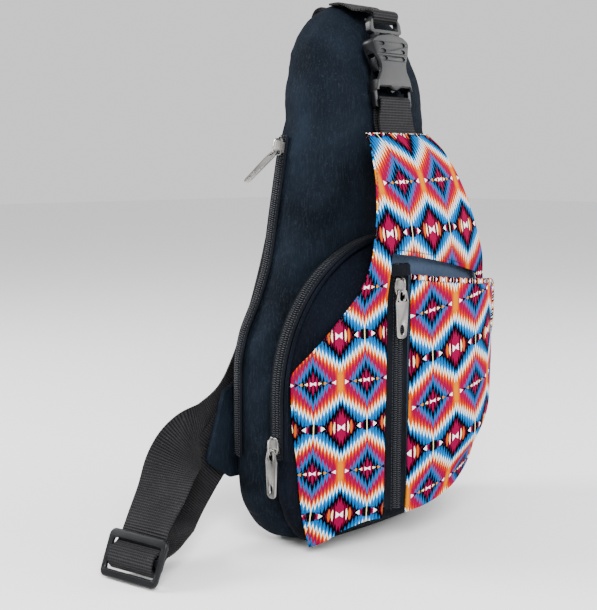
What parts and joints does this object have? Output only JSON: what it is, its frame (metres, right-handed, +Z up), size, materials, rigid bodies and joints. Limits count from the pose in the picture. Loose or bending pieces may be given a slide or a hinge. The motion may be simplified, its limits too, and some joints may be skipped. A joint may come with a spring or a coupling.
{
  "type": "sling backpack",
  "caption": "One-strap sling backpack with a tapering padded body, a printed front with an open pocket, zips with hanging pullers, a side-release buckle and a webbing strap.",
  "frame": {"origin": "on the flat of the base, below the body, in the middle of its width", "axes": "+X to the right as seen from the printed front, +Y to the wearer's side, +Z up"},
  "size_m": [0.3154, 0.1287, 0.3914],
  "materials": {
    "black_canvas": "black cotton canvas, fine plain weave",
    "black_webbing": "black ribbed webbing with a faint sheen",
    "printed_canvas": "canvas printed with serrated diamonds",
    "slate_lining": "slate-grey lining cloth",
    "black_acetal": "moulded black acetal, satin",
    "nickel_plate": "nickel-plated zinc, satin"
  },
  "bodies": {
    "bag": {"main_compartment": "black_canvas", "back_panel": "black_canvas", "middle_compartment": "black_canvas", "arch_piping": "black_canvas", "front_zip_chain": "black_canvas", "arch_zip_chain": "black_canvas", "main_zip_chain": "black_canvas", "zip_top_tab": "black_canvas", "strap_wing": "black_canvas", "strap_webbing": "black_webbing", "top_webbing": "black_webbing", "flap_webbing": "black_webbing", "hang_loop": "black_webbing", "buckle_female": "black_acetal", "print_front": "printed_canvas", "print_pocket": "printed_canvas", "pocket_lining": "slate_lining"},
    "front_slider": {"front_zip_slider": "nickel_plate"},
    "front_puller": {"front_zip_puller": "nickel_plate"},
    "arch_slider": {"arch_zip_slider": "nickel_plate"},
    "arch_puller": {"arch_zip_puller": "nickel_plate"},
    "main_slider": {"main_zip_slider": "nickel_plate"},
    "main_puller": {"main_zip_puller": "nickel_plate"},
    "buckle_top": {"buckle_male": "black_acetal"},
    "adjuster": {"tri_glide": "black_acetal"}
  },
  "joints": [
    {"name": "front_zip_slide", "type": "slide", "parent": "bag", "child": "front_slider", "axis": [0, 0, -1], "range_m": [0, 0.14]},
    {"name": "front_puller_hinge", "type": "hinge", "parent": "front_slider", "child": "front_puller", "pos_m": [-0.02593, -0.05522, 0.186], "axis": [-0.984, 0.1782, 0], "range_deg": [0, 140]},
    {"name": "arch_zip_slide", "type": "slide", "parent": "bag", "child": "arch_slider", "axis": [0, 0, 1], "range_m": [0, 0.026]},
    {"name": "arch_puller_hinge", "type": "hinge", "parent": "arch_slider", "child": "arch_puller", "pos_m": [-0.1096, -0.014, 0.08], "axis": [0, 1, 0], "range_deg": [0, 140]},
    {"name": "main_zip_slide", "type": "slide", "parent": "bag", "child": "main_slider", "axis": [-0.1843, 0, -0.9829], "range_m": [0, 0.046]},
    {"name": "main_puller_hinge", "type": "hinge", "parent": "main_slider", "child": "main_puller", "pos_m": [-0.06839, 0.02815, 0.28217], "axis": [0.1825, 0.9826, -0.0342], "range_deg": [-34, 100]},
    {"name": "buckle_release", "type": "slide", "parent": "bag", "child": "buckle_top", "axis": [0, 0.1672, 0.9859], "range_m": [0, 0.03], "deforming": ["top_webbing"]},
    {"name": "adjuster_slide", "type": "slide", "parent": "bag", "child": "adjuster", "axis": [0.4364, 0.1251, 0.891], "range_m": [0, 0.03], "deforming": ["strap_webbing"]}
  ]
}
